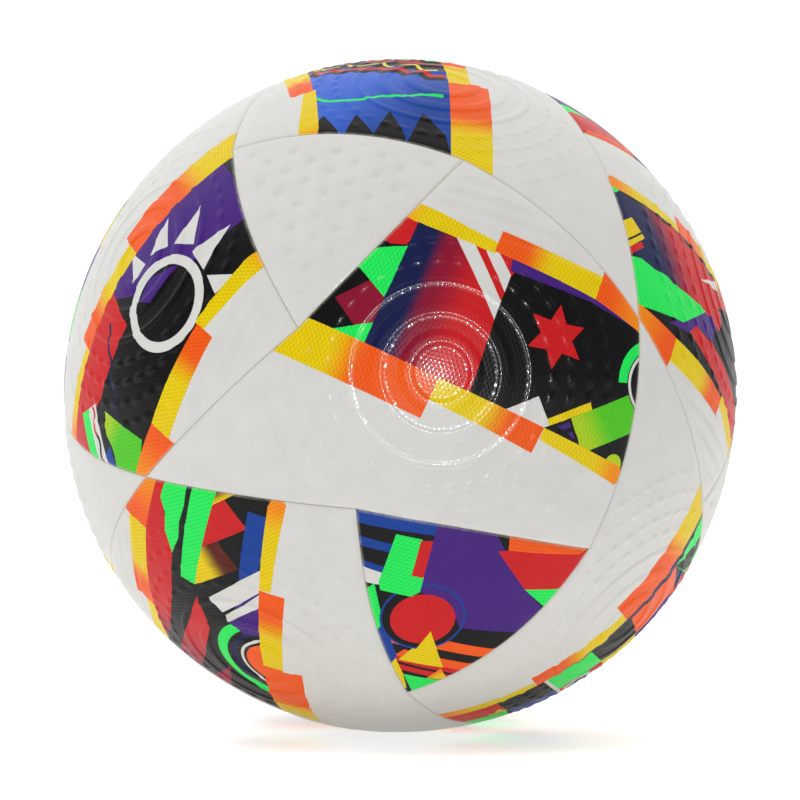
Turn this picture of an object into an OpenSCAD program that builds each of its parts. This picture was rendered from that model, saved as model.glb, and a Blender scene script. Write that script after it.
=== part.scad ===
// Size 5 football for match play, with twenty panels bonded edge to edge.
//
// From the outside in: a polyurethane skin on a foam pad for each panel, a
// sheet of hot-melt film, a carcass of twelve fabric gores, a layer of wound
// thread and a rubber bladder. A rubber valve stands in one of the small
// panels, and its plug pulls out when it needs replacing.
//
// The panels are laid out on six seam points, one on each half axis, where
// four seams meet. Every seam starts at a seam point, meets a second seam at
// its halfway junction and ends on a third. That leaves twelve large panels,
// each between two seam points, and eight small three-cornered ones.

/* [Ball] */
// Outside diameter, inflated
ball_d = 220; // [200:1:230]
// Thickness of a panel's skin
skin_t = 1.4; // [0.8:0.1:2]
// Thickness of the foam pad under a skin
foam_t = 3.4; // [2:0.1:5]
// Thickness of the hot-melt film
film_t = 0.4; // [0.2:0.1:0.8]
// Thickness of a fabric gore
gore_t = 0.9; // [0.6:0.1:1.5]
// Thickness of the thread winding
winding_t = 0.8; // [0.5:0.1:1.5]
// Thickness of the bladder's wall
bladder_t = 1.2; // [0.8:0.1:2]

/* [Seams] */
// Angle at the ball's centre from a seam point to the first junction
junction_reach = 37.4; // [35:0.1:39]
// Angle between a long seam and the middle line of its large panel
junction_splay = 24.3; // [20:0.1:32]
// Sideways bow of a seam between its seam point and its junction
near_bow = 1.1; // [0:0.1:2]
// Sideways bow of a seam between its junction and its end
far_bow = 2.3; // [0:0.1:3]
// Gap between the edges of two panels
seam_gap = 0.3; // [0.2:0.1:0.8]
// Straight steps in each half of a seam
seam_steps = 8; // [4:1:12]

/* [How it lies] */
// Turn about X
turn_x = 13.1; // [-180:0.1:180]
// Turn about Y, after the turn about X
turn_y = -12.2; // [-180:0.1:180]
// Turn about Z, after the turn about Y
turn_z = -48.3; // [-180:0.1:180]

/* [Valve] */
// Diameter of the valve's neck
neck_d = 12; // [10:0.5:14]
// Length of the neck
neck_l = 26; // [22:1:32]
// Depth of the neck's end below the ball's surface
neck_recess = 0.5; // [0.3:0.1:1]
// Diameter of the flange on the bladder
flange_d = 34; // [26:1:40]
// Thickness of the flange
flange_t = 1.4; // [1:0.1:2]
// Diameter of the plug
plug_d = 7; // [6:0.1:8]
// Length of the plug under its head
plug_l = 18; // [14:1:20]
// Diameter of the plug's head
head_d = 8.8; // [8.4:0.1:9.6]
// Thickness of the plug's head
head_t = 1.5; // [1:0.1:2]
// Diameter of the needle's channel through the plug
needle_d = 2.4; // [2:0.1:3]
// Clearance round the plug
plug_play = 0.06; // [0.03:0.01:0.1]

/* [Hidden] */
$fn = 96;
golden = (1 + sqrt(5)) / 2;
ball_r = ball_d / 2;
foam_r = ball_r - skin_t;
film_r = foam_r - foam_t;
gore_r = film_r - film_t;
winding_r = gore_r - gore_t;
bladder_r = winding_r - winding_t;
flange_r = bladder_r - bladder_t;
head_r = ball_r - neck_recess;
// The neck passes through every layer with this much room all round
neck_play = 0.15;
needle_hole_d = needle_d + 0.6;
needle_mouth_t = 0.6;

// The large panel that the others are turned from: its tip and its far end
// are seam points, and it is its own mirror image in the XY plane.
large_tip = [0, -1, 0];
large_end = [1, 0, 0];
large_centre = unit([golden, -1, 0]);
reach_x = sin(junction_reach) * cos(junction_splay);
reach_y = cos(junction_reach);
reach_z = sin(junction_reach) * sin(junction_splay);
// Junctions on the lower side of that panel, and the third corner of the
// small panel that stands below it
first_junction = [reach_x, -reach_y, -reach_z];
second_junction = [reach_y, -reach_z, -reach_x];
third_junction = [reach_z, -reach_x, -reach_y];
small_centre = unit([1, -1, -1]);

// A wedge reaches this far beyond the ball, so that its flat crown is clear
wedge_reach = 1.5 * ball_r;
// Distance from a panel's centre to its sides, on average, as an angle
large_half_width = 26;
small_half_width = 22;

half_turns = [[0, 0, 0], [180, 0, 0], [0, 180, 0], [0, 0, 180]];
large_count = 12;
small_count = 8;

function unit(v) = v / norm(v);
function up_side(v) = [v.x, v.y, -v.z];
function backwards(list) = [for (k = [len(list) - 1 : -1 : 0]) list[k]];
function two_digits(n) = n < 10 ? str("0", n) : str(n);
function large_name(kind, i) = str("large_", kind, "_", two_digits(i + 1));
function small_name(kind, i) = str("small_", kind, "_", i + 1);
function gore_name(i) = str("carcass_gore_", two_digits(i + 1));

// Directions along a seam from a to b, without b. It bows to the side of the
// great circle that cross(a, b) points to, by bow millimetres at its middle.
function seam(a, b, bow) =
    let (arc = acos(a * b), side = unit(cross(a, b)))
    [for (k = [0 : seam_steps - 1])
        let (s = k / seam_steps)
        let (straight = (sin((1 - s) * arc) * a + sin(s * arc) * b) / sin(arc))
        unit(straight + side * sin(180 * s) * bow / ball_r)];

// Outlines run clockwise, seen from outside the ball
large_outline = concat(
    seam(large_tip, up_side(first_junction), -near_bow),
    seam(up_side(first_junction), up_side(second_junction), -far_bow),
    seam(up_side(second_junction), large_end, near_bow),
    seam(large_end, second_junction, near_bow),
    seam(second_junction, first_junction, -far_bow),
    seam(first_junction, large_tip, -near_bow)
);
small_outline = concat(
    seam(first_junction, second_junction, far_bow),
    seam(second_junction, third_junction, far_bow),
    seam(third_junction, first_junction, far_bow)
);
gore_outline = [
    unit([1 / golden, -golden, 0]),
    unit([1, -1, 1]),
    unit([golden, 0, 1 / golden]),
    unit([golden, 0, -1 / golden]),
    unit([1, -1, -1])
];

// Everything within an outline, from the ball's centre outwards
module wedge(outline, centre) {
    n = len(outline);
    crown = n + 1;
    polyhedron(
        points = concat(
            [[0, 0, 0]],
            [for (direction = outline) direction * wedge_reach],
            [centre * wedge_reach]
        ),
        faces = concat(
            [for (k = [0 : n - 1]) [0, (k + 1) % n + 1, k + 1]],
            [for (k = [0 : n - 1]) [crown, k + 1, (k + 1) % n + 1]]
        )
    );
}

module shell(outer_r, inner_r) {
    difference() {
        sphere(outer_r);
        sphere(inner_r);
    }
}

// One piece of a layer, moved out just far enough to open the gap round it
module layer_piece(outline, centre, half_width, outer_r, inner_r) {
    opened = seam_gap / 2 / sin(half_width);
    intersection() {
        rotate([0, 0, 135]) shell(outer_r, inner_r);
        translate(centre * opened) wedge(outline, centre);
    }
}

// The twelve places of a large panel or a gore
module large_place(i) {
    rotate(120 * floor(i / 4), [1, 1, 1])
        rotate(half_turns[i % 4])
            children();
}

// The eight places of a small panel: four as drawn, then four mirrored
module small_piece(i, outer_r, inner_r) {
    mirrored = i >= 4;
    outline = mirrored ? backwards([for (d = small_outline) up_side(d)]) : small_outline;
    centre = mirrored ? up_side(small_centre) : small_centre;
    rotate(half_turns[i % 4])
        layer_piece(outline, centre, small_half_width, outer_r, inner_r);
}

module large_piece(i, outer_r, inner_r) {
    large_place(i)
        layer_piece(large_outline, large_centre, large_half_width, outer_r, inner_r);
}

// The valve stands in the middle of the eighth small panel, on +Z here
module at_valve() {
    rotate([0, acos(1 / sqrt(3)), 135]) children();
}

module neck_passage() {
    at_valve()
        translate([0, 0, head_r - neck_l - 5])
            cylinder(d = neck_d + 2 * neck_play, h = neck_l + 20);
}

module as_it_lies() {
    rotate([turn_x, turn_y, turn_z]) children();
}

module large_panel(i) {
    color("whitesmoke") as_it_lies() large_piece(i, ball_r, foam_r);
}

module small_panel(i) {
    color("white") as_it_lies()
        difference() {
            small_piece(i, ball_r, foam_r);
            neck_passage();
        }
}

module large_foam(i) {
    color("wheat") as_it_lies() large_piece(i, foam_r, film_r);
}

module small_foam(i) {
    color("wheat") as_it_lies()
        difference() {
            small_piece(i, foam_r, film_r);
            neck_passage();
        }
}

module bonding_film() {
    color("khaki") as_it_lies()
        difference() {
            shell(film_r, gore_r);
            neck_passage();
        }
}

module carcass_gore(i) {
    color("lightsteelblue") as_it_lies()
        difference() {
            large_place(i)
                layer_piece(gore_outline, large_centre, large_half_width, gore_r, winding_r);
            neck_passage();
        }
}

module thread_winding() {
    color("ivory") as_it_lies()
        difference() {
            shell(winding_r, bladder_r);
            neck_passage();
        }
}

module bladder() {
    color("dimgray") as_it_lies()
        difference() {
            shell(bladder_r, flange_r);
            neck_passage();
        }
}

module valve_housing() {
    color("darkslategray") as_it_lies() at_valve()
        difference() {
            union() {
                translate([0, 0, head_r - neck_l]) cylinder(d = neck_d, h = neck_l);
                intersection() {
                    rotate([0, 90, 0]) shell(flange_r, flange_r - flange_t);
                    cylinder(d = flange_d, h = ball_r);
                }
            }
            // Needle's way out into the bladder
            translate([0, 0, head_r - neck_l - 1]) cylinder(d = needle_hole_d, h = neck_l);
            // Seat of the plug and of its head
            translate([0, 0, head_r - head_t - plug_l - plug_play])
                cylinder(d = plug_d + 2 * plug_play, h = neck_l);
            translate([0, 0, head_r - head_t - plug_play])
                cylinder(d = head_d + 4 * plug_play, h = neck_l);
        }
}

module valve_plug() {
    color("black") as_it_lies() at_valve()
        difference() {
            union() {
                translate([0, 0, head_r - head_t - plug_l])
                    cylinder(d = plug_d, h = plug_l + head_t / 2);
                translate([0, 0, head_r - head_t]) cylinder(d = head_d, h = head_t);
            }
            translate([0, 0, head_r - head_t - plug_l - 1])
                cylinder(d = needle_d, h = plug_l + head_t + 2);
            // Funnel that leads the needle in
            translate([0, 0, head_r - needle_mouth_t])
                cylinder(d1 = needle_d, d2 = needle_d + 3 * needle_mouth_t, h = needle_mouth_t + 0.01);
        }
}

for (i = [0 : large_count - 1]) {
    large_panel(i);
    large_foam(i);
    carcass_gore(i);
}
for (i = [0 : small_count - 1]) {
    small_panel(i);
    small_foam(i);
}
bonding_film();
thread_winding();
bladder();
valve_housing();
valve_plug();
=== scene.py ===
"""Looks of a size 5 match football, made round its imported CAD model.

Each panel gets a skin of its own: a closed mesh with the moulded relief, the
rounded edges and the printed picture cut into its faces. A picture is drawn on
the panel's chart, a flat map in millimetres along the surface from the panel's
centre. Its first axis runs towards a large panel's far end, or towards a small
panel's first corner, and its second axis is a quarter turn to the left of it.
"""

import math

import bpy
import numpy as np
from mathutils import Matrix, Vector
from mathutils.geometry import delaunay_2d_cdt
from mathutils.kdtree import KDTree


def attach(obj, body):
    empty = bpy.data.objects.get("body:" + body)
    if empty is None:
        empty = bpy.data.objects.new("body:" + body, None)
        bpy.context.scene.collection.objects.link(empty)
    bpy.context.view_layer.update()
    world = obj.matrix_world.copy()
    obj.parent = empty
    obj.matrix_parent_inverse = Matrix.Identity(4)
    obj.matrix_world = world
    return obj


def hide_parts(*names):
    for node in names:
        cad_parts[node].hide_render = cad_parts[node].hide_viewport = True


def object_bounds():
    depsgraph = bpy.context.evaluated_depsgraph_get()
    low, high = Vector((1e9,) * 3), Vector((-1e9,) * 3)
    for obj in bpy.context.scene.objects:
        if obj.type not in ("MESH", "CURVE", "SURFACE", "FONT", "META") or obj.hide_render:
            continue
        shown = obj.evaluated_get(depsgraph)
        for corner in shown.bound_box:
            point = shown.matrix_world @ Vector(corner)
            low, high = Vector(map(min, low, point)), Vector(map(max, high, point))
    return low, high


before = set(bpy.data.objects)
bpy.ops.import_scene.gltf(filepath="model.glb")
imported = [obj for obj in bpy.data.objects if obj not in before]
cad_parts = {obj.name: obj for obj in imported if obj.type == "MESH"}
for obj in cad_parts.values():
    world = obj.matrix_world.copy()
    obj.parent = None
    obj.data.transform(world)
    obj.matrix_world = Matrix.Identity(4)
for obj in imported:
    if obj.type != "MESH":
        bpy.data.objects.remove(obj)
cad_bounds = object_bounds()

MM = 0.001
BALL_R = (cad_bounds[1][2] - cad_bounds[0][2]) / 2 / MM
SKIN_T = 1.4

# The panel layout, as the CAD model has it, in the ball's own frame
GOLDEN = (1 + math.sqrt(5)) / 2
JUNCTION_REACH = math.radians(37.4)
JUNCTION_SPLAY = math.radians(24.3)
NEAR_BOW = 1.1
FAR_BOW = 2.3
TURN = [math.radians(angle) for angle in (13.1, -12.2, -48.3)]
SMALL_COUNT = 8
PRINTED_COUNT = 4
VALVE_PANEL = 7
VALVE_HOLE_R = 6.15

# Mesh spacing and the shape of a panel's edge, in millimetres
EDGE_STEP = 0.8
GRID_STEP = 0.85
ART_STEP = 0.8
UNDERSIDE_STEP = 6.0
HALF_GAP = 0.06
EDGE_ROWS = (0.3, 0.65, 1.1, 1.7)
EDGE_CLEAR = 2.1
ROW_CLEAR = 0.25
GRID_CLEAR = 0.4
EDGE_DROP = 0.42
EDGE_SOFTNESS = 0.7

# The studio brightens as a direction turns from sideways on towards its bright side
BRIGHT_SIDE = (0, 0.7, 0.7)
FACING_RANGE = (0.0, 0.8)
BRIGHTNESS_RANGE = (0.05, 1.35)

# The camera's distance in radii of the ball, its lens in millimetres and the lens's shift
CAMERA_REACH = 7.5
LENS = 112.4
LENS_SHIFT = -0.005

# Moulded relief of a large panel: rings round a point left of the middle
RING_CENTRE = np.array([-8.5, 2.5])
# Radius and half width of every ring. The first few are whole, and the others are dashes.
RINGS = ((10.1, 1.8), (18.8, 1.8), (27.1, 0.9), (33.9, 0.9), (40.0, 0.9), (46.3, 0.9), (52.8, 0.9))
WHOLE_RINGS = 3
RING_HEIGHT = 0.38
RING_SLOPE = 0.4
# The mesh follows the rings this far out
RING_REACH = 42.0
DASH_LENGTH = 6.0
# Rings and ripples fade out between these distances from a panel's edge
RELIEF_FADE = (1.5, 6)

# Waves along the upper far edge of a large panel, on a line from start to end
WAVE_START = np.array([0.0, 53.0])
WAVE_END = np.array([60.0, 4.0])
WAVE_HEIGHT = 0.32
WAVE_LENGTH = 5.4

# Dimples of a plain small panel, in staggered rows
DIMPLE_PITCH = 8.2
DIMPLE_ROW_PITCH = 7.1
DIMPLE_R = 1.7
DIMPLE_DEPTH = 0.9

# The imprinted weave's slant, and its wavelengths across and along it
WEAVE_SLANT = math.radians(-58)
WEAVE_ACROSS = 2.5
WEAVE_ALONG = 1.35

PALETTE = {
    "white": "#D6D5D1",
    "black": "#101011",
    "grey": "#3A3A3C",
    "green": "#22E55A",
    "lime": "#4FC41E",
    "leaf": "#A9CB1E",
    "red": "#C91D20",
    "dark_red": "#8A1230",
    "orange": "#EE5A16",
    "amber": "#F08A12",
    "yellow": "#E3C608",
    "pale_yellow": "#E8D22A",
    "brown": "#5A1C10",
    "purple": "#44207A",
    "blue": "#123F94",
    "sky": "#3262CC",
    "navy": "#141D4A",
}


def linear(name):
    """A palette colour as linear red, green and blue."""
    code = PALETTE[name].lstrip("#")
    channels = [int(code[k:k + 2], 16) / 255 for k in (0, 2, 4)]
    return np.array([c / 12.92 if c <= 0.04045 else ((c + 0.055) / 1.055) ** 2.4 for c in channels])


# ---------------------------------------------------------------- the charts

def unit(vector):
    vector = np.asarray(vector, float)
    return vector / np.linalg.norm(vector)


class Chart:
    """Flat map of a panel, in millimetres along the ball from the panel's centre."""

    def __init__(self, centre, towards):
        self.out = unit(centre)
        self.across = unit(towards - self.out * (self.out @ towards))
        self.along = np.cross(self.out, self.across)

    def directions(self, points):
        reach = np.linalg.norm(points, axis=1)[:, None]
        sideways = points[:, :1] * self.across + points[:, 1:] * self.along
        sideways = sideways / np.maximum(reach, 1e-9)
        return np.cos(reach / BALL_R) * self.out + np.sin(reach / BALL_R) * sideways

    def points(self, directions):
        angle = np.arccos(np.clip(directions @ self.out, -1, 1))
        flat = np.stack([directions @ self.across, directions @ self.along], axis=1)
        length = np.maximum(np.linalg.norm(flat, axis=1), 1e-9)
        return flat * (angle * BALL_R / length)[:, None]


def seam(start, end, bow):
    """Directions along a seam without its end, bowed towards cross(start, end)."""
    start, end = np.asarray(start, float), np.asarray(end, float)
    angle = math.acos(start @ end)
    side = unit(np.cross(start, end))
    share = np.arange(0, 1 - 1e-9, 1 / round(angle * BALL_R / EDGE_STEP))[:, None]
    straight = (np.sin((1 - share) * angle) * start + np.sin(share * angle) * end) / math.sin(angle)
    bowed = straight + side * np.sin(math.pi * share) * bow / BALL_R
    return bowed / np.linalg.norm(bowed, axis=1)[:, None]


REACH_X = math.sin(JUNCTION_REACH) * math.cos(JUNCTION_SPLAY)
REACH_Y = math.cos(JUNCTION_REACH)
REACH_Z = math.sin(JUNCTION_REACH) * math.sin(JUNCTION_SPLAY)
LARGE_TIP = (0, -1, 0)
LARGE_END = (1, 0, 0)
FIRST = (REACH_X, -REACH_Y, -REACH_Z)
SECOND = (REACH_Y, -REACH_Z, -REACH_X)
THIRD = (REACH_Z, -REACH_X, -REACH_Y)


def up_side(direction):
    """The same corner on the other side of a large panel's middle line."""
    return (direction[0], direction[1], -direction[2])


def large_outline():
    """Clockwise from outside, like every outline here."""
    corners = [
        (LARGE_TIP, up_side(FIRST), -NEAR_BOW),
        (up_side(FIRST), up_side(SECOND), -FAR_BOW),
        (up_side(SECOND), LARGE_END, NEAR_BOW),
        (LARGE_END, SECOND, NEAR_BOW),
        (SECOND, FIRST, -FAR_BOW),
        (FIRST, LARGE_TIP, -NEAR_BOW),
    ]
    return np.concatenate([seam(*corner) for corner in corners])


def small_outline(mirrored):
    corners = [(FIRST, SECOND), (SECOND, THIRD), (THIRD, FIRST)]
    outline = np.concatenate([seam(start, end, FAR_BOW) for start, end in corners])
    return (outline * (1, 1, -1))[::-1] if mirrored else outline


def panel_chart(kind):
    if kind == "large":
        return Chart((GOLDEN, -1, 0), LARGE_END)
    if kind == "small":
        return Chart((1, -1, -1), FIRST)
    return Chart((1, -1, 1), up_side(FIRST))


def half_turn(index):
    turns = [(1, 1, 1, 1), (1, -1, -1, 1), (-1, 1, -1, 1), (-1, -1, 1, 1)]
    return Matrix.Diagonal(turns[index % 4])


def as_it_lies():
    return (
        Matrix.Rotation(TURN[2], 4, "Z")
        @ Matrix.Rotation(TURN[1], 4, "Y")
        @ Matrix.Rotation(TURN[0], 4, "X")
    )


def large_place(index):
    third_turn = Matrix.Rotation(math.radians(120 * (index // 4)), 4, Vector((1, 1, 1)))
    return as_it_lies() @ third_turn @ half_turn(index)


def small_place(index):
    return as_it_lies() @ half_turn(index)


# ------------------------------------------------------------- drawing tools

def fill(paint, *corners):
    """A filled outline. A paint is a colour's name, or fade(...)."""
    return paint, np.array(corners, float)


def ground(paint):
    """A sheet of paint under a whole picture."""
    return fill(paint, (-60, 60), (80, 60), (80, -60), (-60, -60))


def fade(start_colour, end_colour, start, end):
    """A paint that changes from one colour to the other between two places."""
    return start_colour, end_colour, np.array(start, float), np.array(end, float)


def arc(x, y, radius, start=0, end=360, step=1.0):
    """Points on an arc, from one angle to another in degrees."""
    count = max(6, round(abs(math.radians(end - start)) * radius / step))
    angles = np.radians(np.linspace(start, end, count + 1))
    return np.stack([x + radius * np.cos(angles), y + radius * np.sin(angles)], axis=1)


def disc(paint, x, y, radius):
    return paint, arc(x, y, radius)[:-1]


def arc_band(paint, x, y, inner, outer, start=0, end=360):
    return paint, np.concatenate([arc(x, y, outer, start, end), arc(x, y, inner, start, end)[::-1]])


def star(paint, x, y, radius, inner, count, first=0):
    angles = np.radians(first + np.arange(2 * count) * 180 / count)
    reach = np.where(np.arange(2 * count) % 2 == 0, radius, inner)
    return paint, np.stack([x + reach * np.cos(angles), y + reach * np.sin(angles)], axis=1)


def stroke(paint, width, points):
    """A line of even width through the points."""
    points = np.asarray(points, float)
    ahead = np.gradient(points, axis=0)
    normal = np.stack([-ahead[:, 1], ahead[:, 0]], axis=1)
    normal /= np.linalg.norm(normal, axis=1)[:, None]
    return paint, np.concatenate([points + normal * width / 2, (points - normal * width / 2)[::-1]])


def wave(start, end, height, count):
    """Points of a sine wave of that many periods between two points."""
    start, end = np.array(start, float), np.array(end, float)
    share = np.linspace(0, 1, round(np.linalg.norm(end - start) / 0.7))[:, None]
    ahead = unit(end - start)
    side = np.array([-ahead[1], ahead[0]])
    return start + share * (end - start) + side * height * np.sin(2 * math.pi * count * share)


def zigzag(start, end, height, count):
    """Corners of a zigzag with that many teeth between two points."""
    start, end = np.array(start, float), np.array(end, float)
    ahead = unit(end - start)
    side = np.array([-ahead[1], ahead[0]])
    share = np.linspace(0, 1, 2 * count + 1)[:, None]
    sign = np.where(np.arange(2 * count + 1) % 2 == 0, 0, 1)[:, None]
    return start + share * (end - start) + side * height * sign


# ------------------------------------------------------------- the pictures

# A large panel's picture fills this band, which runs from seam to seam
BAND = np.array([
    (-44, 32), (-40, 30), (-10, 0.8), (16, -22), (37, -43), (40, -52),
    (70, -30), (66, -3), (59, -3), (46, 9.6), (20.8, 31), (1.5, 49), (-4, 56), (-20, 50),
])


def border_strips():
    """Yellow and orange strips on both sides of every band."""
    return [
        fill(fade("yellow", "orange", (-38, 20.5), (-29, 12.5)),
             (-57, 28), (-53, 24.5), (-18.3, -8.2), (-9.8, 1.2), (-38.5, 29), (-43, 33)),
        fill(fade("yellow", "orange", (-1, -10), (7, -18)),
             (-14.3, -3.8), (-9.8, 1.2), (16.3, -22), (10.5, -28)),
        fill(fade("yellow", "amber", (30, -36), (38, -43)),
             (14, -25), (16.3, -22), (38.5, -41.5), (41, -46), (36, -47)),
        fill(fade("amber", "yellow", (-3, 55), (5, 48)),
             (-4, 54), (1, 57), (21.8, 34), (19, 31.2), (0, 48.5)),
        fill(fade("orange", "yellow", (28, 29), (36, 22)),
             (19.4, 32), (24.6, 37.4), (52, 15.4), (46, 9.5)),
        fill(fade("orange", "amber", (51, 10), (61, -1)),
             (46, 9.5), (53.6, 17.2), (60.5, 4), (64, -1), (59, -4.5)),
    ]


def picture_of_blocks():
    """Colour blocks, two stripes and a star on black."""
    red_field = fade("dark_red", "red", (-4.6, 24.9), (4.4, 17))
    return [
        ground("black"),
        fill("dark_red", (-30.5, 33.5), (-19, 35), (-16.8, 28.5), (-23, 22), (-28, 23.5)),
        fill("green", (-35.5, 25), (-22.5, 22.5), (-27, 16)),
        fill("green", (-24, 44), (-20.7, 39.7), (-17, 28.6), (-4.6, 41.3), (-14.5, 44.3),
             (-16, 47)),
        fill("red", (-13, 49), (-9.5, 43.9), (-5, 41.8), (2.2, 47.2), (-2, 54)),
        fill("navy", (2, 49), (8, 43), (-21, 10), (-27.2, 17.3)),
        fill(red_field, (8, 43), (10, 41), (11.5, 12.5), (-3, -6), (-24, 7)),
        fill(fade("navy", "dark_red", (-8.4, 28.2), (-4.6, 24.9)), (6, 44.8), (10, 41),
             (-19.1, 8.4), (-22.9, 11.6)),
        fill("white", (9.8, 41), (14.4, 37), (15.3, 17), (11.4, 12.4)),
        fill("red", (14.4, 37), (16.8, 35), (17.4, 19.2), (15.3, 17)),
        fill("white", (16.8, 35), (20.6, 31), (21.3, 23.5), (17.4, 19.2)),
        fill("red", (20.6, 31.5), (26, 27), (22.8, 24.2), (21.3, 23.2)),
        fill("purple", (24, 28.5), (21.6, 24.9), (32, 17.4), (43.5, 9.4), (60, -5), (50, 9)),
        star("red", 28.5, 2.2, 10, 5.2, 6, 0),
        fill("white", (6.3, -13.3), (17.3, -12.7), (18.2, -22.5), (15, -23)),
        fill("yellow", (18, -19.9), (33.3, -19.4), (33.3, -21.8), (18, -22)),
        fill("black", (16, -22), (25.6, -22), (26.3, -33)),
        fill("purple", (20.5, -23), (24.8, -23), (24.8, -24.6), (22, -24.6)),
        fill("purple", (23.5, -26), (25, -26), (25.2, -28), (24.3, -28)),
        fill(fade("leaf", "lime", (27, -27), (38, -25)),
             (25.6, -22), (60, -21.2), (50, -33), (28, -33.3), (26.2, -31.5)),
        arc_band("green", 58.5, -21.5, 10.8, 14.2, 80, 160),
        disc("black", 58.5, -21.5, 10.8),
        arc_band("white", 58.5, -21.5, 9.4, 10.4, 80, 260),
        disc("blue", 60, -23, 7.4),
        fill("black", (28, -33.3), (50, -33), (42, -48), (34.8, -39.5)),
        disc(fade("leaf", "yellow", (38, -38), (35, -42)), 36.6, -40.3, 3.2),
    ]


def picture_of_rays():
    """A ring and five loose triangles on purple and black."""
    return [
        ground("black"),
        fill(fade("grey", "black", (-40, 34), (-30, 30)), (-46, 36), (-16, 52), (-15, 44),
             (-34, 30), (-38, 26)),
        fill("purple", (-39, 26), (-33, 33), (-15, 46), (-9.5, 39.5), (5, 22), (5, 2), (3, -10),
             (-12, 0)),
        fill("white", (-12, 40), (2.5, 33), (-4.5, 27.5)),
        fill("white", (-21, 26.5), (-7, 27.5), (-8.5, 19.5)),
        fill("white", (-19.5, 13), (-8.5, 16.5), (-7, 9)),
        fill("white", (-10.5, -1), (-4.5, 7.5), (1, 3)),
        fill("white", (5.5, 45), (11, 38), (4.5, 34.5)),
        disc("black", 10.5, 18.5, 14.5),
        arc_band("white", 10.5, 18.5, 12.2, 15.4),
        fill("purple", (-1, 23), (9.5, 12.5), (8, 7), (1, 11)),
        fill("red", (1, -8), (14, 1.5), (35, -17), (37, -30), (34, -44), (16, -24)),
        stroke("navy", 1.1, wave((11, -8.5), (42, -6.5), 0.7, 3)),
        fill(fade("leaf", "lime", (40, -13), (48, -8)), (50, 3.4), (66, -6), (58, -16), (35, -17)),
        stroke("black", 4.6, wave((34, -17.2), (58, -16.2), 0.9, 1.8)),
        fill("blue", (48, -14.8), (60, -14), (58, -19.4), (50, -18.8)),
        fill("white", (33.6, -19.5), (60, -18.6), (58, -25.5), (34, -25)),
        stroke("red", 1.2, wave((34, -22), (43, -22), 0.9, 1)),
        stroke("black", 1.3, wave((43, -22), (58, -21), 0.9, 1.5)),
        fill("green", (34, -25), (58, -24.5), (56, -31), (34, -31)),
        fill("red", (30, -31), (56, -30), (44, -50), (34, -44)),
    ]


def picture_of_leaves():
    """Long red leaves and concentric rings over blocks of colour."""
    return [
        ground("black"),
        fill("dark_red", (-24, 40), (-17, 43), (-12, 29), (-8, 17), (-15, 26)),
        fill(fade("dark_red", "red", (-6, 40), (10, 14)),
             (-12, 44), (-5, 48), (5, 30), (14, 14), (21, 3.2), (9, 8), (-3, 26)),
        fill(fade("dark_red", "red", (8, 40), (22, 26)),
             (1, 54), (14, 46), (48, 12), (64, -3), (58, -8.5), (50, -3), (38, 1), (23, 15),
             (9, 33)),
        arc_band("green", -12, -4, 17.3, 21, -20, 175),
        arc_band("navy", -12, -4, 14.4, 15.8, -30, 190),
        arc_band("white", -12, -4, 11.8, 12.8, -30, 190),
        disc("orange", -12, -4, 10.8),
        fill("purple", (3.8, -3.8), (9.8, -2.4), (11.6, -18), (1.5, -9)),
        fill("white", (9.8, -2.2), (12.2, -3), (15.2, -22), (11.2, -20)),
        fill("purple", (13, -9), (14, -9), (15.6, -21), (15, -21.5)),
        fill("white", (13.4, -2.6), (19.6, -1.8), (21.5, -18), (22, -28), (15.6, -22)),
        fill(fade("yellow", "brown", (30, -8), (30, -15)), (25, 0.4), (35.6, -9), (35.6, -18.6),
             (25, -20)),
        fill("red", (35.6, -9), (46, -20.4), (46, -28.5), (35.2, -31)),
        fill(fade("yellow", "brown", (46, -23), (49, -23)), (46, -19.4), (54, -26), (46, -34)),
        fill("green", (25, 0.4), (28.6, 4.6), (53, -18.6), (50, -28)),
        fill("green", (36.6, 2.2), (44, 0.4), (49, -3.2), (54, -4), (60, -11), (54, -16.6),
             (49, -12.5), (45, -7.6), (40.5, -4)),
        fill("blue", (21.6, -17.6), (24.4, -20), (39.8, -34.4), (34, -41), (22, -26)),
    ]


def picture_of_teeth():
    """Saw teeth, waves and zigzags on blue."""
    return [
        ground(fade("blue", "sky", (-22, 22), (10, 26))),
        fill("black", (-46, 32), (-40, 30.5), (-33, 26), (-20.6, 23.6), (-27, 36), (-30, 44)),
        fill("black", (-30, 42), (-25.5, 35.8), (-12.7, 30), (-17, 41), (-19, 48)),
        fill("black", (-20, 47), (-17.2, 41.5), (-5.6, 37.6), (-9.3, 46), (-12, 52)),
        fill("black", (-9, 51), (-7, 47), (3.2, 43.2), (2.4, 50), (-1, 56)),
        stroke("green", 1.3, [(-17, 11), (-12, 15.5), (-9.5, 21), (-4, 25), (-1, 30), (3, 33),
                              (8, 36), (13, 36.6), (20, 38)]),
        stroke("black", 6.4, zigzag((-6, -1), (42, 20), 3.0, 7)),
        stroke("red", 2.8, zigzag((-5, -2.4), (42, 18.6), 3.0, 7)),
        fill("black", (-4, -6), (4, 0.6), (20, 8), (36, 15), (50, 12), (60, -3), (40, -20),
             (16, -24)),
        stroke("pale_yellow", 1.3, wave((0, -4), (46, 12), 2.4, 4)),
        stroke("red", 3.4, zigzag((6, -12), (54, 4), 2.8, 6)),
        stroke("green", 2.6, wave((12, -20), (60, -5), 1.2, 5)),
        fill("blue", (18, -24), (62, -9), (60, -30), (36, -46)),
        fill("black", (30, -22), (38, -28), (42, -18)),
        fill("black", (42, -18), (50, -24), (54, -14)),
    ]


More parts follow.
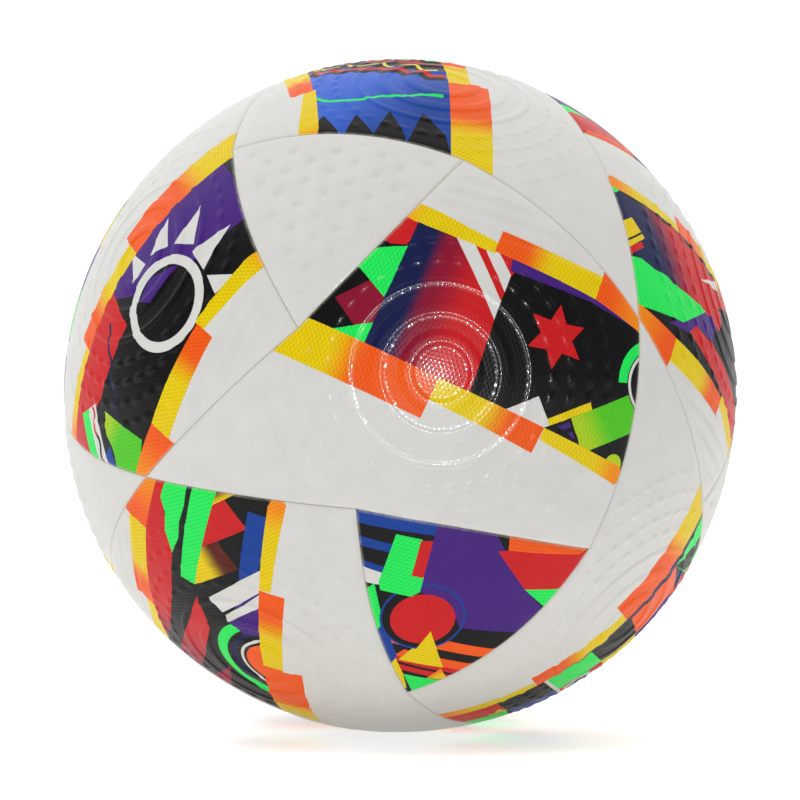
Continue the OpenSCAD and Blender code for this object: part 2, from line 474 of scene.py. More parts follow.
def picture_of_waves():
    """A dark field, a wide green wedge and a fading red sheet."""
    return [
        ground("black"),
        fill("red", (-8, 58), (5, 46), (24, 25), (38, 8.5), (32, 7.6), (16, 20), (-4, 38),
             (-20, 52)),
        fill("purple", (11, 5), (22, 14.6), (27, 11), (32, 7.6), (38, 9), (48, 4)),
        fill(fade("red", "navy", (22, -12), (39, -16)),
             (-12, 5), (-4, 6), (6, 4.6), (20, 6), (40, -7), (50, -18), (54, -30), (44, -50),
             (28, -38), (8, -17), (-6, -6)),
        fill("red", (4, 6), (12, 11.6), (17, 9), (16, 4)),
        fill("white", (-10, 3), (16, -5.8), (-4, -3.6)),
        fill("green", (21.6, 4.4), (39.6, 5.4), (47, 2), (70, -9), (56, -21), (49, -17.6),
             (45, -13), (40, -10), (38, -7)),
        fill("red", (45, -20.8), (58, -19.6), (56, -23), (44.6, -22.6)),
        fill("yellow", (42, -23.4), (56, -22), (54, -31), (42, -31.2)),
        stroke("black", 0.7, [(42, -25.4), (46, -25), (50, -24.8), (56, -24)]),
        stroke("black", 5.4, wave((-10, 1), (40, -46), 0.9, 5)),
        disc("green", 39.6, -43.4, 2.7),
    ]


def picture_of_tiles():
    """Triangles and slanting tiles of every colour."""
    return [
        ground("navy"),
        fill("green", (-50, 40), (-37, 30), (-24, 20), (-12, 36), (-20, 52)),
        fill("black", (-30, 44), (-24, 20), (-14, 34)),
        fill("red", (-14, 50), (-12, 30), (6, 40), (2, 56)),
        fill("orange", (-24, 20), (-9, 4), (4, 16), (-8, 30)),
        fill("black", (-9, 4), (2, -8), (14, 6), (4, 16)),
        fill("purple", (-8, 30), (4, 16), (16, 30), (6, 42)),
        fill("yellow", (4, 16), (14, 6), (24, 14), (16, 26)),
        fill("green", (2, -8), (14, -20), (26, -6), (14, 6)),
        fill("red", (14, 6), (26, -6), (38, 6), (25, 16)),
        disc("white", 26, 4, 5.2),
        disc("blue", 26, 4, 3.6),
        fill("black", (14, -20), (26, -32), (36, -20), (26, -6)),
        fill("blue", (26, -6), (36, -20), (48, -8), (38, 6)),
        fill("red", (26, -32), (36, -46), (48, -34), (36, -20)),
        fill("green", (36, -20), (48, -34), (70, -10), (48, -8)),
        stroke("white", 1.2, [(14, -20), (20, -13), (26, -6), (32, 0), (38, 6)]),
        stroke("black", 1.2, [(36, -20), (42, -14), (48, -8), (56, 0)]),
        fill("yellow", (33, -26), (39, -26), (36, -20)),
    ]


def picture_of_stripes():
    """Picture of a printed small panel: stripes, a disc and a purple field."""
    slant = 0.45
    left, right = -30, 0

    def stripe(paint, top, bottom, end=right):
        rise = slant * (end - left)
        return fill(paint, (left, top), (end, top + rise), (end, bottom + rise), (left, bottom))

    return [
        ground("black"),
        stripe("red", 21.2, 18.6, 0),
        stripe("red", 17.4, 15.0, 0),
        stripe("orange", 15.0, 11.0, -3),
        stripe("orange", 7.0, 2.4, -5),
        fill("green", (-32, 50), (-25, 37.4), (-12, 31.2), (-26.4, 23.8), (-34, 26)),
        fill("black", (-30, 48), (-24, 36.4), (-20, 37.6), (-16, 46)),
        fill("yellow", (-20, 40), (-18.8, 35.6), (-11.8, 31.2), (-4.4, 27.8), (-4, 34)),
        fill(fade("yellow", "orange", (-22, 26), (-17, 26)), (-25, 24), (-18.6, 27.6),
             (-18.4, 24.2), (-18, 21.4)),
        fill("yellow", (-18.2, 20.6), (-5.4, 27.6), (-2.6, 12.4)),
        fill("orange", (-4.6, 21), (2.6, 24.4), (6, 21.6), (-4, 16)),
        fill("blue", (-6, 31.4), (-3.8, 26.8), (7.8, 20.8), (12.5, 22.4), (6, 30)),
        fill("green", (8, 25), (9.6, 20.4), (22.3, 12.4), (22.4, 17.2), (20, 22)),
        disc("blue", 3, 10.6, 12.8),
        disc("black", 3, 10.6, 12.1),
        fill("purple", (-30, -7), (-24, -3.6), (-8, 5.6), (2, 1), (11, 4.6), (14, 0.6),
             (24, -14.4), (14, -26), (-12, -17), (-30, -13.6)),
        arc_band("blue", 3, 10.6, 12.1, 12.8, 190, 340),
        fill("white", (21.2, 11.8), (27, 16.6), (33, 11.5), (23, 7.6)),
        fill("blue", (23.2, 8), (29.6, 11.6), (31.8, 10.4), (24.6, 6.4)),
        fill("blue", (27, 1.8), (35.4, 7.6), (37.6, 5.4), (28.2, -0.8)),
        fill("blue", (22, -11.4), (41, 3), (50, -1), (25, -18)),
        fill("green", (11.6, 7.6), (19.4, 12.7), (22, 11), (30.2, -3.6), (23.6, -8), (14, 0.4),
             (11, 4.6)),
        fill("red", (14, 0.6), (17, 2.5), (23.6, -7.4), (21, -9.9)),
        disc("red", 2.6, 11, 9.7),
        fill("yellow", (-10.4, 16.4), (-5.2, 20.4), (-2.6, 12.4)),
        fill("green", (-30, -15), (-25, -15.4), (-13.2, -16.4), (-24, -23.2), (-30, -26)),
        fill("red", (-30, -26.5), (-24, -23.2), (-13.2, -16.4), (3.8, -20.4), (1.5, -22.6),
             (-20, -35), (-26, -44)),
        fill("orange", (-24, -42), (-19.8, -34.8), (1.5, -22.6), (5, -26.5), (-10, -38)),
    ]


LARGE_PICTURES = [
    picture_of_blocks,
    picture_of_waves,
    picture_of_leaves,
    picture_of_teeth,
    picture_of_tiles,
    picture_of_rays,
    picture_of_leaves,
    picture_of_rays,
    picture_of_blocks,
    picture_of_teeth,
    picture_of_waves,
    picture_of_tiles,
]


# ------------------------------------------------------------------ relief

def smooth_step(values, low, high):
    share = np.clip((values - low) / (high - low), 0, 1)
    return share * share * (3 - 2 * share)


def edge_drop(rim):
    """How far the surface falls towards its edge, by the distance to the edge."""
    return -EDGE_DROP * np.exp(-(rim / EDGE_SOFTNESS) ** 1.2)


def large_relief(points, rim):
    """Rings, rows of dashes beyond them, and waves along the upper far edge."""
    away = np.linalg.norm(points - RING_CENTRE, axis=1)
    angle = np.arctan2(points[:, 1] - RING_CENTRE[1], points[:, 0] - RING_CENTRE[0])
    height = np.zeros(len(points))
    for number, (radius, half_width) in enumerate(RINGS):
        off_ring = np.abs(away - radius)
        ridge = 1 - smooth_step(off_ring, half_width - RING_SLOPE, half_width + RING_SLOPE)
        dash_count = round(2 * math.pi * radius / DASH_LENGTH)
        dashes = 0.45 + 0.45 * np.cos(angle * dash_count + number * 2.1)
        height += RING_HEIGHT * ridge * (dashes if number >= WHOLE_RINGS else 1)

    ahead = unit(WAVE_END - WAVE_START)
    side = np.array([-ahead[1], ahead[0]])
    beside = (points - WAVE_START) @ side
    past = (points - WAVE_START) @ ahead
    wavy = smooth_step(beside, -2, 3) * smooth_step(past, -6, 8)
    wave_height = WAVE_HEIGHT * np.sin(2 * math.pi * (beside - 0.10 * past) / WAVE_LENGTH)
    height = height * (1 - wavy) + wave_height * wavy
    return height * smooth_step(rim, *RELIEF_FADE)


def printed_small_relief(points, rim):
    """Faint ripples, as a printed small panel is almost smooth."""
    swell = np.sin(points[:, 0] / 4.1) * np.sin(points[:, 1] / 5.3 + 1)
    return 0.05 * swell * smooth_step(rim, *RELIEF_FADE)


def dimpled_small_relief(points, rim):
    """Shallow dimples in staggered rows."""
    row = np.round(points[:, 1] / DIMPLE_ROW_PITCH)
    shift = np.where(row % 2 == 0, 0, DIMPLE_PITCH / 2)
    column = np.round((points[:, 0] - shift) / DIMPLE_PITCH)
    centres = np.stack([column * DIMPLE_PITCH + shift, row * DIMPLE_ROW_PITCH], axis=1)
    away = np.linalg.norm(points - centres, axis=1)
    dimple = np.exp(-(away / DIMPLE_R) ** 2)
    across = np.cos(2 * math.pi * points[:, 0] / DIMPLE_PITCH)
    along = np.cos(math.pi * points[:, 1] / DIMPLE_ROW_PITCH)
    return (0.06 * across * along - DIMPLE_DEPTH * dimple) * smooth_step(rim, 3, 7)


# -------------------------------------------------------------- panel meshes

def inside(outline, points):
    """Which points lie inside a closed outline."""
    found = np.zeros(len(points), bool)
    x, y = points[:, 0], points[:, 1]
    previous = outline[-1]
    for corner in outline:
        if corner[1] != previous[1]:
            slope = (previous[0] - corner[0]) / (previous[1] - corner[1])
            crossing = slope * (y - corner[1]) + corner[0]
            found ^= ((corner[1] > y) != (previous[1] > y)) & (x < crossing)
        previous = corner
    return found


def sides(outline):
    """Start and end of every side of a closed outline."""
    return zip(outline, np.roll(outline, -1, axis=0))


def resampled(outline, step):
    """The outline with points added so that no side is longer than step."""
    pieces = []
    for start, end in sides(outline):
        count = max(1, math.ceil(np.linalg.norm(end - start) / step))
        pieces.append(start + np.linspace(0, 1, count, endpoint=False)[:, None] * (end - start))
    return np.concatenate(pieces)


def rim_distance(points, outlines):
    """Distance from each point to the nearest side of the panel's outlines."""
    nearest = np.full(len(points), np.inf)
    for outline in outlines:
        for start, end in sides(outline):
            side = end - start
            share = np.clip((points - start) @ side / (side @ side), 0, 1)[:, None]
            gap = np.linalg.norm(points - start - share * side, axis=1)
            nearest = np.minimum(nearest, gap)
    return nearest


def inset(outline, distance):
    """Points of a clockwise outline moved inwards."""
    ahead = np.roll(outline, -1, axis=0) - np.roll(outline, 1, axis=0)
    inwards = np.stack([ahead[:, 1], -ahead[:, 0]], axis=1)
    inwards /= np.linalg.norm(inwards, axis=1)[:, None]
    return outline + inwards * distance


def hex_grid(outline, step):
    low, high = outline.min(axis=0), outline.max(axis=0)
    rows = np.arange(low[1], high[1], step * math.sqrt(3) / 2)
    columns = np.arange(low[0], high[0], step)
    x, y = np.meshgrid(columns, rows)
    x[1::2] += step / 2
    return np.stack([x.ravel(), y.ravel()], axis=1)


def ring_rows():
    """Rows of points that follow the moulded rings, closest where they are steep."""
    steep = []
    for radius, half_width in RINGS:
        if radius + half_width < RING_REACH:
            for edge in (radius - half_width, radius + half_width):
                steep += [edge - RING_SLOPE, edge, edge + RING_SLOPE]
    radii = [RING_REACH] + steep
    flat_rows = np.arange(0.9, RING_REACH, GRID_STEP)
    for radius in flat_rows:
        if min(abs(radius - other) for other in radii) > 0.55 * GRID_STEP:
            radii.append(radius)
    rows = [arc(*RING_CENTRE, radius, step=GRID_STEP)[:-1] for radius in radii]
    return np.concatenate(rows)


def clear_of(points, others, distance):
    """The points that keep at least that distance from all the others."""
    tree = KDTree(len(others))
    for index, other in enumerate(others):
        tree.insert((other[0], other[1], 0), index)
    tree.balance()
    keep = [tree.find((p[0], p[1], 0))[2] > distance for p in points]
    return points[np.array(keep, bool)]


def triangulated(points, loops, merge):
    """Triangles over the points, which keep the sides of the loops that the points begin with."""
    edges = []
    first = 0
    for loop in loops:
        count = len(loop)
        edges += [(first + k, first + (k + 1) % count) for k in range(count)]
        first += count
    result = delaunay_2d_cdt([Vector(p) for p in points], edges, [], 0, merge)
    return np.array([tuple(p) for p in result[0]]), np.array([tuple(face) for face in result[2]])


def within(points, triangles, outlines):
    """The triangles inside the first outline and outside the others."""
    middle = points[triangles].mean(axis=1)
    keep = inside(outlines[0], middle)
    for hole in outlines[1:]:
        keep &= ~inside(hole, middle)
    return triangles[keep]


def cut_sheet(outlines, shapes, fine_rows):
    """Triangles of a flat panel whose edges follow its outlines and its picture."""
    loops = [resampled(outline, EDGE_STEP) for outline in outlines]
    loops += [resampled(corners, ART_STEP) for _, corners in shapes]
    rows = [inset(outline, distance) for outline in outlines for distance in EDGE_ROWS]
    rows = np.concatenate(rows)
    rows = rows[rim_distance(rows, outlines) > min(EDGE_ROWS) * 0.9]
    rows = rows[inside(outlines[0], rows)]
    grid = hex_grid(outlines[0], GRID_STEP)
    if fine_rows is not None:
        reach = np.linalg.norm(grid - RING_CENTRE, axis=1)
        grid = np.concatenate([grid[reach > RING_REACH + 1], fine_rows])
    grid = grid[inside(outlines[0], grid)]
    grid = grid[rim_distance(grid, outlines) > EDGE_CLEAR]
    if shapes:
        art = np.concatenate(loops[len(outlines):])
        rows = clear_of(rows, art, ROW_CLEAR)
        grid = clear_of(grid, art, GRID_CLEAR)
    points = np.concatenate(loops + [rows, grid])
    points, triangles = triangulated(points, loops, 0.02)
    triangles = within(points, triangles, outlines)
    used = np.unique(triangles)
    renumber = np.full(len(points), -1)
    renumber[used] = np.arange(len(used))
    return points[used], renumber[triangles]


def boundary_loops(triangles):
    """The open edges of a sheet as loops of point numbers, in the triangles' own direction."""
    edges = np.concatenate([triangles[:, [0, 1]], triangles[:, [1, 2]], triangles[:, [2, 0]]])
    known = {(a, b) for a, b in edges.tolist()}
    follow = {a: b for a, b in known if (b, a) not in known}
    loops = []
    while follow:
        start = next(iter(follow))
        loop = [start]
        step = follow.pop(start)
        while step != start:
            loop.append(step)
            step = follow.pop(step)
        loops.append(loop)
    return loops


def corner_colours(points, triangles, shapes, clip):
    """Linear colour of each triangle's three corners."""
    middle = points[triangles].mean(axis=1)
    allowed = inside(clip, middle) if clip is not None else np.ones(len(middle), bool)
    colours = np.tile(linear("white"), (len(triangles), 3, 1))
    for paint, corners, clipped in shapes:
        chosen = inside(corners, middle)
        if clipped:
            chosen &= allowed
        if isinstance(paint, str):
            colours[chosen] = linear(paint)
            continue
        start_colour, end_colour, start, end = paint
        along = end - start
        places = points[triangles[chosen]] - start
        share = smooth_step(places @ along / (along @ along), 0, 1)[..., None]
        colours[chosen] = linear(start_colour) * (1 - share) + linear(end_colour) * share
    return colours


def turns_left(points, triangles):
    """Which triangles run counterclockwise on the chart."""
    a, b, c = (points[triangles[:, k]] for k in range(3))
    return (b[:, 0] - a[:, 0]) * (c[:, 1] - a[:, 1]) > (b[:, 1] - a[:, 1]) * (c[:, 0] - a[:, 0])


def underside(points, loops, outlines):
    """Coarse sheet with the given edge loops. Its triangles face inwards."""
    grid = hex_grid(outlines[0], UNDERSIDE_STEP)
    grid = grid[inside(outlines[0], grid)]
    grid = grid[rim_distance(grid, outlines) > UNDERSIDE_STEP * 0.6]
    base = np.concatenate([points[loop] for loop in loops] + [grid])
    base, under = triangulated(base, loops, 1e-4)
    under = within(base, under, outlines)
    left = turns_left(base, under)
    under[left] = under[left][:, ::-1]
    return base, under


def wall_faces(points, base, loops):
    """Quads between the edges of a panel's two sides. The base's points are numbered on."""
    origin = {tuple(np.round(p, 3)): k for k, p in enumerate(base)}
    below = {e: origin[tuple(np.round(points[e], 3))] + len(points) for loop in loops for e in loop}
    faces = []
    for loop in loops:
        for e, following in zip(loop, loop[1:] + loop[:1]):
            faces.append((following, e, below[e], below[following]))
    return faces


def add_layers(mesh, colours, on_chart, rim):
    """The print's colour, the place on the chart and the distance to the edge."""
    corners = np.tile(np.append(linear("white"), 1), (len(mesh.loops), 1))
    corners[:3 * len(colours), :3] = colours.reshape(-1, 3)
    print_layer = mesh.color_attributes.new("print", "FLOAT_COLOR", "CORNER")
    print_layer.data.foreach_set("color", corners.ravel())
    places = np.zeros((len(mesh.vertices), 3))
    places[:, :2] = on_chart
    chart_layer = mesh.attributes.new("chart", "FLOAT_VECTOR", "POINT")
    chart_layer.data.foreach_set("vector", places.ravel())
    distances = np.zeros(len(mesh.vertices))
    distances[:len(rim)] = rim
    rim_layer = mesh.attributes.new("rim", "FLOAT", "POINT")
    rim_layer.data.foreach_set("value", distances)


def make_skin(name, chart, outline, shapes, clip, relief, hole=None, fine_rows=None):
    """Mesh of one kind of panel in the ball's frame, as a closed solid."""
    flat = inset(chart.points(outline), HALF_GAP)
    outlines = [flat] if hole is None else [flat, hole]
    points, triangles = cut_sheet(outlines, [shape[:2] for shape in shapes], fine_rows)
    rim = rim_distance(points, outlines)
    height = relief(points, rim) + edge_drop(rim)
    top = chart.directions(points) * (BALL_R + height)[:, None]
    colours = corner_colours(points, triangles, shapes, clip)

    # Charts are right-handed from outside, so triangles that turn left face outwards
    wrong = ~turns_left(points, triangles)
    triangles[wrong] = triangles[wrong][:, ::-1]
    colours[wrong] = colours[wrong][:, ::-1]
    loops = boundary_loops(triangles)
    base, under = underside(points, loops, outlines)
    bottom = chart.directions(base) * (BALL_R - SKIN_T)

    mesh = bpy.data.meshes.new(name)
    vertices = np.concatenate([top, bottom]) * MM
    faces = triangles.tolist() + wall_faces(points, base, loops) + (under + len(points)).tolist()
    mesh.from_pydata(vertices.tolist(), [], faces)
    mesh.polygons.foreach_set("use_smooth", np.ones(len(faces), bool))
    add_layers(mesh, colours, np.concatenate([points, base]), rim)
    mesh.set_sharp_from_angle(angle=math.radians(50))
    mesh.update()
    return mesh


def large_skin(picture):
    shapes = [(paint, corners, True) for paint, corners in picture()]
    shapes += [(paint, corners, False) for paint, corners in border_strips()]
    chart = panel_chart("large")
    outline = large_outline()
    name = picture.__name__
    return make_skin(name, chart, outline, shapes, BAND, large_relief, fine_rows=ring_rows())


def small_skin(kind, printed, hole=None):
    chart = panel_chart(kind)
    outline = small_outline(kind == "mirrored")
    if printed:
        shapes = [(paint, corners, False) for paint, corners in picture_of_stripes()]
        return make_skin("printed", chart, outline, shapes, None, printed_small_relief)
    return make_skin("plain", chart, outline, [], None, dimpled_small_relief, hole=hole)


def place_skin(mesh, name, matrix, node, material):
    copy = mesh.copy()
    copy.name = name
    copy.transform(matrix)
    copy.materials.append(material)
    skin = bpy.data.objects.new(name, copy)
    bpy.context.scene.collection.objects.link(skin)
    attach(skin, "ball")
    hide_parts(node)


# ---------------------------------------------------------------- materials

RANGE_SOCKETS = ("From Min", "From Max", "To Min", "To Max")


class Nodes:
    """Short calls for building the node tree of a material or of the world."""

    def __init__(self, owner, main_node):
        owner.use_nodes = True
        self.owner = owner
        self.tree = owner.node_tree
        self.shader = self.tree.nodes[main_node]

    def add(self, kind, **settings):
        node = self.tree.nodes.new(kind)
        for key, value in settings.items():
            setattr(node, key, value)
        return node

    def feed(self, socket, value):
        if isinstance(value, bpy.types.NodeSocket):
            self.tree.links.new(value, socket)
        else:
            socket.default_value = value

    def attribute(self, name, output):
        return self.add("ShaderNodeAttribute", attribute_name=name).outputs[output]

    def math(self, operation, *values):
        node = self.add("ShaderNodeMath", operation=operation)
        for socket, value in zip(node.inputs, values):
            self.feed(socket, value)
        return node.outputs[0]

    def spread(self, value, low, high, start, end):
        """Maps low..high to start..end smoothly."""
        node = self.add("ShaderNodeMapRange", interpolation_type="SMOOTHSTEP")
        for key, number in zip(RANGE_SOCKETS, (low, high, start, end)):
            node.inputs[key].default_value = number
        self.feed(node.inputs["Value"], value)
        return node.outputs["Result"]

    def noise(self, vector, scale, detail=3, roughness=0.5):
        node = self.add("ShaderNodeTexNoise")
        self.feed(node.inputs["Vector"], vector)
        node.inputs["Scale"].default_value = scale
        node.inputs["Detail"].default_value = detail
        node.inputs["Roughness"].default_value = roughness
        return node.outputs["Fac"]

    def mix(self, share, first, second, blend="MIX"):
        node = self.add("ShaderNodeMix", data_type="RGBA", blend_type=blend)
        self.feed(node.inputs["Factor"], share)
        self.feed(node.inputs["A"], first)
        self.feed(node.inputs["B"], second)
        return node.outputs["Result"]

    def bump(self, height, distance, normal=None):
        node = self.add("ShaderNodeBump")
        node.inputs["Distance"].default_value = distance
        self.feed(node.inputs["Height"], height)
        if normal is not None:
            self.feed(node.inputs["Normal"], normal)
        return node.outputs["Normal"]

    def position(self):
        return self.add("ShaderNodeTexCoord").outputs["Object"]

    def turned(self, vector, angle):
        node = self.add("ShaderNodeVectorRotate", rotation_type="Z_AXIS")
        node.inputs["Angle"].default_value = angle
        self.feed(node.inputs["Vector"], vector)
        split = self.add("ShaderNodeSeparateXYZ")
        self.feed(split.inputs[0], node.outputs[0])
        return split.outputs[0], split.outputs[1]

    def sine(self, value, wavelength):
        return self.math("SINE", self.math("MULTIPLY", value, 2 * math.pi / wavelength))

    def seen_or_felt(self, seen, felt):
        """One strength where the camera sees a thing, and another where it lights the ball."""
        node = self.add("ShaderNodeMix")
        camera_ray = self.add("ShaderNodeLightPath").outputs["Is Camera Ray"]
        self.feed(node.inputs["Factor"], camera_ray)
        self.feed(node.inputs["A"], felt)
        self.feed(node.inputs["B"], seen)
        return node.outputs["Result"]


def new_material(name):
    return Nodes(bpy.data.materials.new(name), "Principled BSDF")


def printed_colour(n, chart, weave):
    """The print, with painted shade in the weave's hollows, a painted highlight on its tops, random
    patches of tone and dirt along the seams.
    """
    colour = n.attribute("print", "Color")
    channels = n.add("ShaderNodeSeparateColor")
    n.feed(channels.inputs[0], colour)
    palest = n.math("MINIMUM", channels.outputs[0], channels.outputs[2])
    # Painted shade and highlight: the weave's hollows are darkened and its tops lightened in the
    # colour, strongly on coloured print and faintly on white.
    weave_shade_strength = n.spread(palest, 0.2, 0.6, 0.16, 0.02)
    weave_painted_shade_and_tone = n.math("ADD", 0.98, n.math("MULTIPLY", weave, weave_shade_strength))
    patches = n.spread(n.noise(chart, 0.09, detail=3), 0.25, 0.75, 0.975, 1.02)
    weave_painted_shade_and_tone = n.math("MULTIPLY", weave_painted_shade_and_tone, patches)
    grey = n.add("ShaderNodeCombineColor")
    for socket in grey.inputs[:3]:
        n.feed(socket, weave_painted_shade_and_tone)
    colour = n.mix(1.0, colour, grey.outputs[0], "MULTIPLY")
    near_seam = n.spread(n.attribute("rim", "Fac"), 0.0, 0.9, 0.4, 0.0)
    uneven = n.spread(n.noise(chart, 0.5, detail=4), 0.3, 0.7, 0.4, 1.0)
    dirt = n.math("MULTIPLY", near_seam, uneven)
    return n.mix(dirt, colour, (0.60, 0.57, 0.46, 1.0))


def panel_material():
    """Printed polyurethane with the imprint of a slanting weave, under a thin lacquer."""
    n = new_material("panel_skin")
    chart = n.attribute("chart", "Vector")
    across, along = n.turned(chart, WEAVE_SLANT)
    weave = n.math("MULTIPLY", n.sine(across, WEAVE_ACROSS), n.sine(along, WEAVE_ALONG))
    depth = n.spread(n.noise(chart, 0.35, detail=2), 0.3, 0.7, 0.55, 1.0)
    weave_height = n.math("MULTIPLY", weave, depth)
    n.feed(n.shader.inputs["Base Color"], printed_colour(n, chart, weave))

    rough = n.spread(n.noise(chart, 0.22, detail=4), 0.3, 0.7, 0.42, 0.54)
    n.feed(n.shader.inputs["Roughness"], n.math("ADD", rough, n.math("MULTIPLY", weave, -0.03)))
    grain = n.bump(n.noise(chart, 5.0, detail=2, roughness=0.6), 0.00001)
    n.feed(n.shader.inputs["Normal"], n.bump(weave_height, 0.00002, grain))
    lacquer = n.bump(n.noise(chart, 1.1, detail=2), 0.00003)
    n.feed(n.shader.inputs["Coat Normal"], n.bump(weave_height, 0.000015, lacquer))
    n.shader.inputs["Specular IOR Level"].default_value = 0.05
    n.shader.inputs["Coat Weight"].default_value = 0.2
    n.feed(n.shader.inputs["Coat Roughness"], n.spread(weave, -0.3, 0.7, 0.35, 0.08))
    return n.owner


def foam_material():
    """Closed-cell foam with fine pores, darkened in the colour as painted shade."""
    n = new_material("foam_pad")
    place = n.position()
    cells = n.add("ShaderNodeTexVoronoi")
    n.feed(cells.inputs["Vector"], place)
    cells.inputs["Scale"].default_value = 900
    pores = n.spread(cells.outputs["Distance"], 0.1, 0.6, 0.0, 1.0)
    tone = n.mix(n.noise(place, 60, detail=4), (0.74, 0.66, 0.46, 1), (0.86, 0.79, 0.60, 1))
    # Painted shade: the pores are darkened in the colour.
    painted_pore_shade = n.mix(0.25, tone, (0.3, 0.24, 0.14, 1))
    n.feed(n.shader.inputs["Base Color"], n.mix(pores, painted_pore_shade, tone))
    n.feed(n.shader.inputs["Roughness"], n.spread(pores, 0, 1, 0.95, 0.8))
    return n.owner


def film_material():
    """Amber hot-melt film, a little uneven and glossy."""
    n = new_material("hot_melt_film")
    place = n.position()
    flow = n.noise(place, 45, detail=5, roughness=0.6)
    n.feed(n.shader.inputs["Base Color"], n.mix(flow, (0.62, 0.47, 0.16, 1), (0.80, 0.68, 0.36, 1)))
    n.feed(n.shader.inputs["Roughness"], n.spread(flow, 0.3, 0.7, 0.22, 0.45))
    return n.owner


def fabric_material():
    """Plain woven polyester and cotton, with both yarns in view."""
    n = new_material("carcass_fabric")
    place = n.position()
    split = n.add("ShaderNodeSeparateXYZ")
    n.feed(split.inputs[0], place)
    warp = n.sine(split.outputs[0], 0.0011)
    weft = n.sine(split.outputs[2], 0.0011)
    cloth = n.math("MULTIPLY", warp, weft)
    tone = n.mix(n.spread(cloth, -1, 1, 0, 1), (0.30, 0.38, 0.50, 1), (0.56, 0.64, 0.75, 1))
    wear = n.math("MULTIPLY", n.noise(place, 35, detail=4), 0.35)
    n.feed(n.shader.inputs["Base Color"], n.mix(wear, tone, (0.70, 0.72, 0.74, 1)))
    n.feed(n.shader.inputs["Roughness"], n.spread(cloth, -1, 1, 0.92, 0.72))
    n.shader.inputs["Sheen Weight"].default_value = 0.3
    return n.owner


def winding_material():
    """Layers of wound nylon thread that cross at a slant."""
    n = new_material("winding_thread")
    place = n.position()
    layers = []
    for direction, scale, distortion in (("DIAGONAL", 330, 1.5), ("Z", 300, 2.0)):
        bands = n.add("ShaderNodeTexWave", wave_type="BANDS", bands_direction=direction)
        n.feed(bands.inputs["Vector"], place)
        bands.inputs["Scale"].default_value = scale
        bands.inputs["Distortion"].default_value = distortion
        layers.append(bands.outputs["Fac"])
    threads = n.math("MAXIMUM", *layers)
    tone = n.mix(threads, (0.40, 0.36, 0.28, 1), (0.84, 0.81, 0.72, 1))
    n.feed(n.shader.inputs["Base Color"], tone)
    n.feed(n.shader.inputs["Roughness"], n.spread(threads, 0, 1, 0.8, 0.45))
    return n.owner


def rubber_material(name, tone, powder, scale):
    """Rubber with a fine grain and a trace of powder in its low spots."""
    n = new_material(name)
    place = n.position()
    grain = n.noise(place, scale, detail=6, roughness=0.65)
    low_spots = n.spread(grain, 0.45, 0.75, 0, 1)
    patches = n.spread(n.noise(place, scale * 0.12, detail=3), 0.35, 0.7, 0.1, powder)
    bloom = n.math("MULTIPLY", low_spots, patches)
    n.feed(n.shader.inputs["Base Color"], n.mix(bloom, tone, (0.42, 0.42, 0.41, 1)))
    n.feed(n.shader.inputs["Roughness"], n.spread(grain, 0.3, 0.7, 0.38, 0.62))
    n.feed(n.shader.inputs["Normal"], n.bump(grain, 0.00005))
    return n.owner


# ------------------------------------------------------------- the whole ball

def dress_cad_nodes():
    """Gives the CAD nodes that stay in view, inside the ball and at the valve, their finish."""
    foam = foam_material()
    finishes = {
        "large_foam": foam,
        "small_foam": foam,
        "carcass_gore": fabric_material(),
        "bonding_film": film_material(),
        "thread_winding": winding_material(),
        "bladder": rubber_material("bladder_rubber", (0.030, 0.030, 0.032, 1), 0.5, 500),
        "valve_housing": rubber_material("valve_rubber", (0.75, 0.74, 0.70, 1), 0.2, 1500),
        "valve_plug": rubber_material("plug_rubber", (0.020, 0.020, 0.021, 1), 0.15, 1800),
    }
    for name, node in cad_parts.items():
        kind = name.rsplit("_", 1)[0] if name[-1].isdigit() else name
        if kind in finishes:
            node.data.materials.clear()
            node.data.materials.append(finishes[kind])


def dress_panels():
    skin = panel_material()
    made = {}
    for index, picture in enumerate(LARGE_PICTURES):
        if picture not in made:
            made[picture] = large_skin(picture)
        number = f"{index + 1:02d}"
        node = "large_panel_" + number
        place_skin(made[picture], "large_skin_" + number, large_place(index), node, skin)
    printed = small_skin("small", True)
    plain = small_skin("mirrored", False)
    hole = arc(0, 0, VALVE_HOLE_R, step=EDGE_STEP)[:-1][::-1]
    with_valve = small_skin("mirrored", False, hole=hole)
    small_meshes = [printed] * PRINTED_COUNT + [plain] * (SMALL_COUNT - PRINTED_COUNT)
    small_meshes[VALVE_PANEL] = with_valve
    for index, mesh in enumerate(small_meshes):
        number = str(index + 1)
        node = "small_panel_" + number
        place_skin(mesh, "small_skin_" + number, small_place(index), node, skin)


# ------------------------------------------------------------------- studio

def set_camera():
    """Level view of the ball along +Y."""
    camera = bpy.data.cameras.new("camera")
    camera.sensor_width = 36
    camera.lens = LENS
    camera.shift_y = LENS_SHIFT
    camera.clip_start = 0.01
    holder = bpy.data.objects.new("camera", camera)
    holder.location = (0, -CAMERA_REACH * BALL_R * MM, 0)
    holder.rotation_euler = (math.radians(90), 0, 0)
    bpy.context.scene.collection.objects.link(holder)
    bpy.context.scene.camera = holder


def aimed_light(name, kind, towards, power):
    """A light that shines on the ball from the direction towards."""
    light = bpy.data.lights.new(name, kind)
    light.energy = power
    holder = bpy.data.objects.new(name, light)
    holder.rotation_euler = Vector(towards).to_track_quat("Z", "Y").to_euler()
    bpy.context.scene.collection.objects.link(holder)
    return holder


def sun_light(name, towards, strength, spread):
    """Even light over the whole studio, kept out of reflections."""
    sun = aimed_light(name, "SUN", towards, strength)
    sun.data.angle = math.radians(spread)
    sun.visible_glossy = False


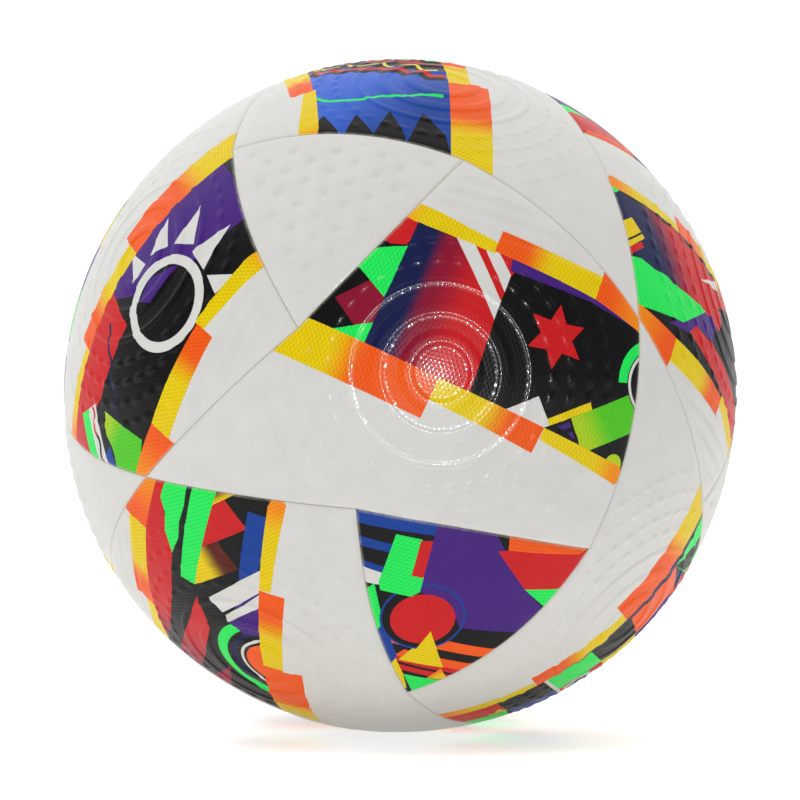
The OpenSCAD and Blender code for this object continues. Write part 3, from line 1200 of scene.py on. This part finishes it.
def flash_light(place, size, power):
    """A small square light that only shows as sparkles."""
    flash = aimed_light("flash", "AREA", place, power)
    flash.location = place
    flash.data.size = size
    flash.visible_diffuse = False


def make_floor():
    """Pale studio floor that the ball lies on."""
    size = 40
    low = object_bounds()[0][2]
    mesh = bpy.data.meshes.new("floor")
    corners = [(-size, -size, low), (size, -size, low), (size, size, low), (-size, size, low)]
    mesh.from_pydata(corners, [], [(0, 1, 2, 3)])
    floor = bpy.data.objects.new("floor", mesh)
    bpy.context.scene.collection.objects.link(floor)
    n = new_material("studio_floor")
    place = n.position()
    tone = n.mix(n.noise(place, 3.0), (0.90, 0.90, 0.90, 1), (0.93, 0.93, 0.93, 1))
    n.feed(n.shader.inputs["Base Color"], tone)
    n.shader.inputs["Roughness"].default_value = 0.8
    n.shader.inputs["Specular IOR Level"].default_value = 0.1
    n.shader.inputs["Emission Color"].default_value = (1, 1, 1, 1)
    n.feed(n.shader.inputs["Emission Strength"], n.seen_or_felt(0.55, 0.3))
    mesh.materials.append(n.owner)


def set_world():
    """White studio that is dark behind the camera and bright overhead and at the back."""
    n = Nodes(bpy.data.worlds.new("studio"), "Background")
    facing = n.add("ShaderNodeVectorMath", operation="DOT_PRODUCT")
    n.feed(facing.inputs[0], n.add("ShaderNodeTexCoord").outputs["Generated"])
    n.feed(facing.inputs[1], unit(BRIGHT_SIDE))
    brightness = n.spread(facing.outputs["Value"], *FACING_RANGE, *BRIGHTNESS_RANGE)
    n.feed(n.shader.inputs["Color"], (1, 1, 1, 1))
    n.feed(n.shader.inputs["Strength"], n.seen_or_felt(1.05, brightness))
    bpy.context.scene.world = n.owner


def set_studio():
    set_camera()
    set_world()
    make_floor()
    sun_light("softbox", (0.05, -1.0, 0.15), 0.32, 120)
    sun_light("key", (-0.3, -0.5, 1.0), 1.3, 25)
    flash_light((0.23, -1.16, 0.14), 0.07, 10.0)
    scene = bpy.context.scene
    scene.view_settings.view_transform = "Standard"
    scene.view_settings.look = "None"


dress_cad_nodes()
dress_panels()
set_studio()
